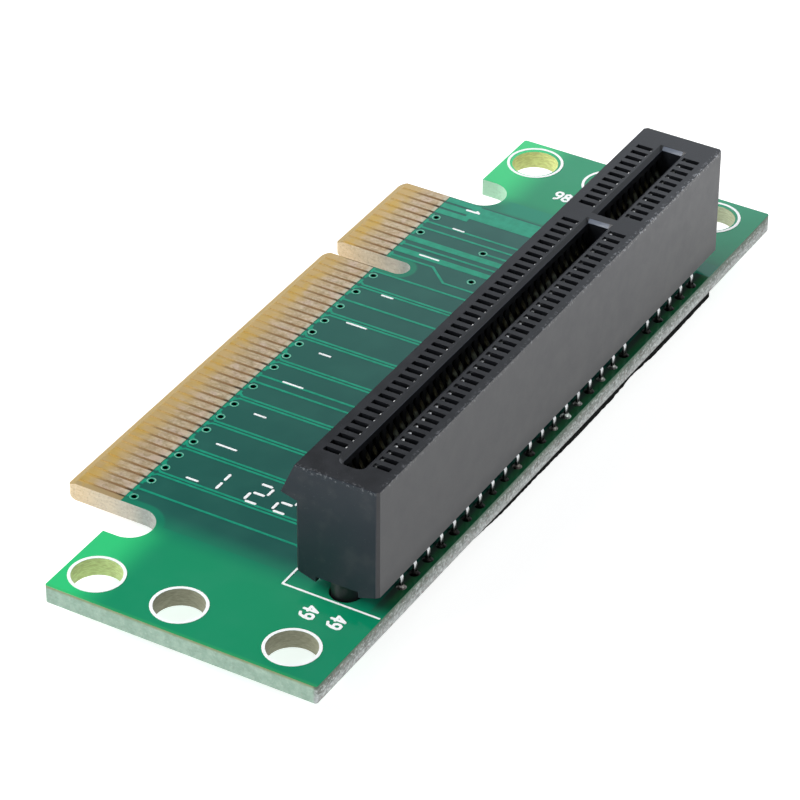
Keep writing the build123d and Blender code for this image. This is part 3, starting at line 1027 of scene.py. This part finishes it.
# Legend print

INK_H = 0.034
LEGEND_LINE = 0.17
LONG_END_HOLES = [(x, y, 0) for x, y in MOUNTING_HOLES if x > 0]
SHORT_END_HOLES = [(x - 0.1, y - 0.05, 0) for x, y in MOUNTING_HOLES if x < 0]
for label, spots, clear, width in (
    ("long_end", LONG_END_HOLES, 0.14, 0.26),
    ("short_end", SHORT_END_HOLES, 0.36, 0.24),
):
    ring = flat_ring(HOLE_RADIUS + clear, width, INK_H, INK)
    fit(set_out(f"legend_rings_{label}", ring, spots, INK), "solder_mask_board")


def stroke(start, end, width=LEGEND_LINE):
    """A printed stroke with round ends, as an outline of points."""
    (x0, y0), (x1, y1) = start, end
    heading = math.degrees(math.atan2(y1 - y0, x1 - x0))
    front = arc(x1, y1, width / 2, heading - 90, heading + 90, 8)
    return front + arc(x0, y0, width / 2, heading + 90, heading + 270, 8)


def printed(name, strokes):
    """Flat strokes of ink with their thickness."""
    build = bmesh.new()
    for layer, outline in enumerate(strokes):
        # Each stroke lies a touch higher than the last, as wet ink does where two meet
        top = (INK_H + 0.0004 * layer) * MM
        foot = [build.verts.new((x * MM, y * MM, -0.002 * MM)) for x, y in outline]
        head = [build.verts.new((x * MM, y * MM, top)) for x, y in outline]
        build.faces.new(foot[::-1])
        build.faces.new(head)
        for i in range(len(outline)):
            j = (i + 1) % len(outline)
            build.faces.new((foot[i], foot[j], head[j], head[i]))
    return fit(add_piece(name, plain_mesh(build, name, INK)), "solder_mask_board")


# Count marks at every fifth contact, long at the tens
MARKS_Y = -17.7
marks = []
for number in range(5, 50, 5):
    half = 0.9 if number % 10 == 0 else 0.5
    x = finger_x(number) - 0.1
    marks.append(stroke((x, MARKS_Y - half), (x, MARKS_Y + half), 0.18))
printed("legend_count_marks", marks)

# Segment numerals lying along the board
SEGMENTS = {"1": ["upper", "lower"], "2": ["top", "upper", "middle", "lower left", "bottom"]}


def segment_numeral(figure, right_y, top_x=31.75, cell=1.25, width=1.35):
    """A numeral of separate segments, its top towards the short end, ending at right_y."""
    left_y = right_y - width
    rows = [top_x, top_x + cell, top_x + 2 * cell]
    gap = 0.28
    ends = {
        "top": ((rows[0], left_y + gap), (rows[0], right_y - gap)),
        "middle": ((rows[1], left_y + gap), (rows[1], right_y - gap)),
        "bottom": ((rows[2], left_y + gap), (rows[2], right_y - gap)),
        "upper": ((rows[0] + gap, right_y), (rows[1] - gap, right_y)),
        "lower": ((rows[1] + gap, right_y), (rows[2] - gap, right_y)),
        "lower left": ((rows[1] + gap, left_y), (rows[2] - gap, left_y)),
    }
    return [stroke(*ends[segment], 0.24) for segment in SEGMENTS[figure]]


numerals = segment_numeral("1", -15.45) + segment_numeral("2", -11.5) + segment_numeral("2", -8.95)
printed("legend_segment_numerals", numerals)

# Plain stroke figures: each is a run of points in a cell one wide and two high
FIGURES = {
    "1": [(0.25, 1.6), (0.55, 2.0), (0.55, 0.0)],
    "4": [(0.75, 0.0), (0.75, 2.0), (0.0, 0.65), (1.0, 0.65)],
    "8": [
        (0.5, 1.05), (0.12, 1.3), (0.12, 1.75), (0.5, 2.0), (0.88, 1.75), (0.88, 1.3), (0.5, 1.05),
        (0.0, 0.75), (0.0, 0.28), (0.5, 0.0), (1.0, 0.28), (1.0, 0.75), (0.5, 1.05),
    ],
    "9": [
        (0.95, 1.35), (0.75, 1.0), (0.25, 1.0), (0.02, 1.3), (0.02, 1.7), (0.25, 2.0), (0.75, 2.0),
        (0.97, 1.7), (0.95, 1.0), (0.7, 0.2), (0.25, 0.0),
    ],
}
FIGURE_STEP = 1.45
FIGURE_HEIGHT = 1.15


def figures(text, left_x, base_y, turned=False):
    """Strokes for a row of figures from (left_x, base_y), turned by a right angle if asked."""
    unit = FIGURE_HEIGHT / 2
    strokes = []
    for i, figure in enumerate(text):
        points = []
        for across, up in FIGURES[figure]:
            along, rise = (i * FIGURE_STEP + across) * unit, up * unit
            points.append((left_x - rise, base_y + along) if turned else (left_x + along, base_y + rise))
        strokes += [stroke(a, b, 0.23) for a, b in zip(points, points[1:])]
    return strokes


printed("legend_contact_49_upper", figures("49", 43.0, 0.72))
printed("legend_contact_49_lower", figures("49", 43.0, -1.68))
printed("legend_contact_1", figures("1", -11.5, -18.65))
printed("legend_contact_count", figures("98", -16.7, -13.3, turned=True))

# The socket's printed outline: its long end and the side towards the tab
corner = (41.7, -4.65)
printed("legend_socket_outline", [stroke((corner[0], 3.8), corner), stroke(corner, (-14.7, corner[1]))])

# Gold fingers keep their solids and take their plating
for name in ("front_fingers_short", "front_fingers_long", "back_fingers_short", "back_fingers_long"):
    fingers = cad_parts[name]
    fingers.data.materials.clear()
    fingers.data.materials.append(GOLD)


# The socket moulding


def moulding():
    """The housing with the small radii that its tool leaves on every arris."""
    build = bmesh.new()
    build.from_mesh(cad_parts["connector_housing"].data)
    bmesh.ops.remove_doubles(build, verts=build.verts, dist=0.003 * MM)
    flat = math.radians(1.0)
    bmesh.ops.dissolve_limit(build, angle_limit=flat, verts=build.verts, edges=build.edges)
    housing = add_piece("moulded_housing", plain_mesh(build, "moulded_housing", PLASTIC))
    radius = housing.modifiers.new("arris", "BEVEL")
    radius.width = 0.06 * MM
    radius.segments = 2
    radius.limit_method = "ANGLE"
    radius.angle_limit = math.radians(40)
    radius.use_clamp_overlap = True
    settle(housing)
    smooth(housing.data, 50)
    # Wide faces keep their own direction, and only the radii shade round
    level = housing.modifiers.new("level faces", "WEIGHTED_NORMAL")
    level.weight = 100
    level.keep_sharp = True
    return fit(settle(housing), "housing_plastic", "connector_housing")


moulding()

# Formed contacts, drawn flat and stood up at their places

TAIL_END = BOARD_UNDER - 0.7
SPRING = [(0.71, 8.9), (1.51, 10.27), (1.51, 11.1)]
STRIP_PATHS = {
    "inner": [(INNER_ROW, 3.6)] + SPRING,
    "outer": [(OUTER_ROW, 1.0), (2.74, 1.4), (2.74, 3.6)] + SPRING,
}
for side, side_turn in (("a", 0.0), ("b", math.pi)):
    for form, path in STRIP_PATHS.items():
        own = [n for n in CONTACTS if ((n % 2 == 0) == (side == "a")) == (form == "outer")]
        # Two more points near the tail's end, for its taper
        tail = [(path[0][0], TAIL_END + up) for up in (0.0, 0.25, 0.5)]
        blank = work(wires("blank", [tail + path]), FORMED_STRIP, Finish=TINNED)
        smooth(blank.data, 50)
        spots = [(contact_x(n), 0, 0) for n in own]
        group = set_out(f"formed_contacts_{side}_{form}", blank, spots, TINNED, (0, 0, side_turn))
        fit(group, "contact_metal", f"contacts_{side}_short_{form}", f"contacts_{side}_long_{form}")

# Solder: a fillet round each tail on both faces


def turned_fillet(profile, steps=16):
    """A closed shape turned round z from a profile of (radius, height) in millimetres."""
    build = bmesh.new()
    rings = []
    for radius, height in profile:
        ring = circle(0, 0, radius * MM, steps) if radius else [(0, 0)]
        rings.append([build.verts.new((x, y, height * MM)) for x, y in ring])
    for low, high in zip(rings, rings[1:]):
        for i, j in zip(range(steps), range(1, steps + 1)):
            corners = [low[i % len(low)], low[j % len(low)], high[j % len(high)], high[i % len(high)]]
            build.faces.new(list(dict.fromkeys(corners)))
    bmesh.ops.recalc_face_normals(build, faces=build.faces)
    mesh = plain_mesh(build, "fillet")
    smooth(mesh, 50)
    return add_piece("fillet", mesh)


FOOT = [(0.0, -0.01)]
UPPER_FILLET = FOOT + [(0.42, -0.01), (0.38, 0.03), (0.31, 0.08), (0.25, 0.16), (0.2, 0.28), (0.0, 0.3)]
UNDER_FILLET = FOOT + [(0.56, -0.01), (0.52, 0.06), (0.42, 0.2), (0.32, 0.4), (0.22, 0.58), (0.0, 0.64)]
TAILS = []
for number in CONTACTS:
    even = number % 2 == 0
    TAILS += [(contact_x(number), OUTER_ROW if even else INNER_ROW)]
    TAILS += [(contact_x(number), -INNER_ROW if even else -OUTER_ROW)]
for label, profile, level, turn, draw in (
    ("upper", UPPER_FILLET, 0, 0.0, {"size_spread": 0.14, "lean": 0.06, "seed": 11}),
    ("under", UNDER_FILLET, BOARD_UNDER, math.pi, {"size_spread": 0.08, "lean": 0.05, "seed": 5}),
):
    spots = [(x, y, level) for x, y in TAILS]
    joints = set_out(f"solder_{label}", turned_fillet(profile), spots, SOLDER, (turn, 0, 0), **draw)
    fit(joints, "contact_metal")

# Foam pad

# The back edge as it was cut by hand: (along the board, how far back it reaches)
FOAM_BACK = [
    (-16.0, 2.9), (-14.35, 3.0), (-14.3, 3.36), (-10.0, 3.43), (-4.0, 3.42), (0.0, 3.2), (3.5, 3.4),
    (10.0, 3.43), (14.0, 3.32), (22.0, 3.25), (26.0, 3.02), (43.0, 2.95),
]
GROOVE_HALF = 0.4
GROOVE_DEPTH = 0.85


def foam_section(x):
    """The pad's section at a place along it, with the grooves that the tails have pressed."""
    (x0, y0), (x1, y1) = next(pair for pair in zip(FOAM_BACK, FOAM_BACK[1:]) if x <= pair[1][0] + 1e-6)
    edge = min(y0 + (y1 - y0) * (x - x0) / (x1 - x0), FOAM_HIGH.y)
    low, high, groove = FOAM_LOW.z, FOAM_HIGH.z, FOAM_HIGH.z - GROOVE_DEPTH
    # The backmost groove runs out at the back edge
    points = [(FOAM_LOW.y, high), (FOAM_LOW.y, low), (edge, low), (edge, groove)]
    points += [(OUTER_ROW - GROOVE_HALF, groove), (OUTER_ROW - GROOVE_HALF, high)]
    for y in (INNER_ROW, -INNER_ROW, -OUTER_ROW):
        back, front = y + GROOVE_HALF, y - GROOVE_HALF
        points += [(back, high), (back, groove), (front, groove), (front, high)]
    return points


def roughened(at, normal):
    """A point of the foam's skin, moved by its cells but kept inside the pad."""
    cell = noise.noise(at / (0.45 * MM)) * 0.1 * MM
    swell = noise.noise(at / (3.0 * MM)) * 0.04 * MM
    move = normal * (cell + swell - 0.01 * MM)
    low, high = FOAM_LOW * MM, FOAM_HIGH * MM
    # The stuck face and the lower face stay level
    if not low.z + 0.02 * MM <= at.z <= high.z - 0.02 * MM:
        move.z = 0
    return [min(max(value, least), most) for value, least, most in zip(at + move, low, high)]


def foam_strip():
    """The foam pad, with its cells opened by the knife and its edges a little ragged."""
    step = 0.21
    length = FOAM_HIGH.x - FOAM_LOW.x
    stations = round(length / step)
    corners = foam_section(0.0)
    counts = [max(1, round(math.dist(a, b) / step)) for a, b in zip(corners, corners[1:] + corners[:1])]
    build = bmesh.new()
    rings = []
    for i in range(stations + 1):
        x = FOAM_LOW.x + length * i / stations
        corners = foam_section(x)
        ring = []
        for (y0, z0), (y1, z1), count in zip(corners, corners[1:] + corners[:1], counts):
            ways = [k / count for k in range(count)]
            points = [(x * MM, (y0 + (y1 - y0) * way) * MM, (z0 + (z1 - z0) * way) * MM) for way in ways]
            ring += [build.verts.new(point) for point in points]
        rings.append(ring)
    for ring, following in zip(rings, rings[1:]):
        for i in range(len(ring)):
            j = (i + 1) % len(ring)
            build.faces.new((ring[i], ring[j], following[j], following[i]))
    ends = [build.faces.new(rings[0]), build.faces.new(rings[-1])]
    bmesh.ops.triangulate(build, faces=ends)
    bmesh.ops.recalc_face_normals(build, faces=build.faces)
    mesh = plain_mesh(build, "cut_foam_strip", FOAM)
    moved = []
    for vert in mesh.vertices:
        moved += roughened(vert.co, vert.normal)
    mesh.vertices.foreach_set("co", moved)
    mesh.update()
    smooth(mesh, 60)
    foam = fit(add_piece("cut_foam_strip", mesh), "black_foam", "foam_pad")


foam_strip()

# Sheet, light and camera

SQUARE = ((-1, -1), (1, -1), (1, 1), (-1, 1))


def panel(name, corners, finish):
    """A flat four-cornered piece that belongs to the studio and not to the card."""
    mesh = bpy.data.meshes.new(name)
    mesh.from_pydata(corners, [], [(0, 1, 2, 3)])
    mesh.materials.append(finish)
    piece = add_piece(name, mesh)
    return piece


SHEET_HALF = 3.0
panel("sheet", [(SHEET_HALF * i, SHEET_HALF * j, FOAM_LOW.z * MM) for i, j in SQUARE], SHEET)


CARD_MIDDLE = Vector((13.5, -8.0, 4.0)) * MM
LAMP_DISTANCE = 0.6


def softbox(name, direction, size, power, tone):
    """A square light that faces the card from a direction."""
    lamp = bpy.data.lights.new(name, "AREA")
    lamp.size = size
    lamp.energy = power
    lamp.color = tone
    box = add_piece(name, lamp)
    way = Vector(direction).normalized()
    box.location = CARD_MIDDLE + way * LAMP_DISTANCE
    box.rotation_mode = "QUATERNION"
    box.rotation_quaternion = way.to_track_quat("Z", "Y")


softbox("key_softbox", (0.15, -0.72, 0.68), 0.4, 2.6, (1.0, 0.985, 0.96))
softbox("fill_softbox", (0.1, 0.85, 0.5), 0.3, 0.6, (0.97, 0.985, 1.0))
softbox("end_softbox", (0.572, -0.411, 0.708), 0.2, 1.4, (0.9, 0.95, 1.0))

SCREEN_WAY = Vector((-0.772, -0.369, 0.52)).normalized()
SCREEN_CENTRE = Vector((-13.0, 0.0, 5.0)) * MM + SCREEN_WAY * 0.2
SCREEN_HALF = 0.15
SCREEN_ACROSS = (Vector((1.0, 0.0, 0.0)) - SCREEN_WAY * SCREEN_WAY.x).normalized()
SCREEN_UP = SCREEN_WAY.cross(SCREEN_ACROSS)


def graded_screen():
    """A diffusing screen behind the short end, lit through from one side. Its sheen on the
    mask and the moulding fades towards the long end."""
    finish, tree, surface, place = new_finish("graded_diffuser", 0.9, 1.45)
    dot = {0: place, 1: tuple(SCREEN_ACROSS)}
    along = node(tree, "ShaderNodeVectorMath", dot, operation="DOT_PRODUCT").outputs["Value"]
    middle = SCREEN_CENTRE.dot(SCREEN_ACROSS) / MM
    glow = tint(tree, "#000000", along, middle + 100, middle - 100, "#f0f6ff")
    cloth = blend_colour(tree, grain(tree, place, 5.0), "#0a0a0a", "#101010")
    tree.links.new(cloth, surface.inputs["Base Color"])
    tree.links.new(glow, surface.inputs["Emission Color"])
    surface.inputs["Emission Strength"].default_value = 2.0
    across, up = SCREEN_ACROSS * SCREEN_HALF, SCREEN_UP * SCREEN_HALF
    screen = panel("graded_screen", [SCREEN_CENTRE + across * i + up * j for i, j in SQUARE], finish)
    screen.visible_camera = False
    screen.visible_shadow = False


graded_screen()

world = bpy.data.worlds.new("studio")
bpy.context.scene.world = world
world.use_nodes = True
sky = world.node_tree
sky.nodes.clear()
# A white backdrop stands up from the horizon and ends above the card, under a dim ceiling
way = node(sky, "ShaderNodeTexCoord").outputs["Generated"]
rise = node(sky, "ShaderNodeSeparateXYZ", {0: way}).outputs["Z"]
backdrop = tint(sky, "#4c4e50", rise, math.sin(math.radians(36)), math.sin(math.radians(22)), "#e9eef4")
air = node(sky, "ShaderNodeBackground", {"Color": backdrop, "Strength": 1.0})
node(sky, "ShaderNodeOutputWorld", {0: air.outputs[0]})

lens = bpy.data.cameras.new("view")
lens.sensor_width = 36.0
lens.lens = 180.14
lens.clip_start, lens.clip_end = 0.02, 20.0
camera = add_piece("view", lens)
camera.location = (0.24414, 0.12296, 0.18428)
right = Vector((-0.50512, 0.86303, 0.00525))
down = Vector((0.49263, 0.29331, -0.81932))
forward = Vector((-0.70864, -0.41127, -0.57331))
camera.rotation_mode = "QUATERNION"
camera.rotation_quaternion = Matrix((right, -down, -forward)).transposed().to_quaternion()
bpy.context.scene.camera = camera
bpy.context.scene.view_settings.view_transform = "Standard"
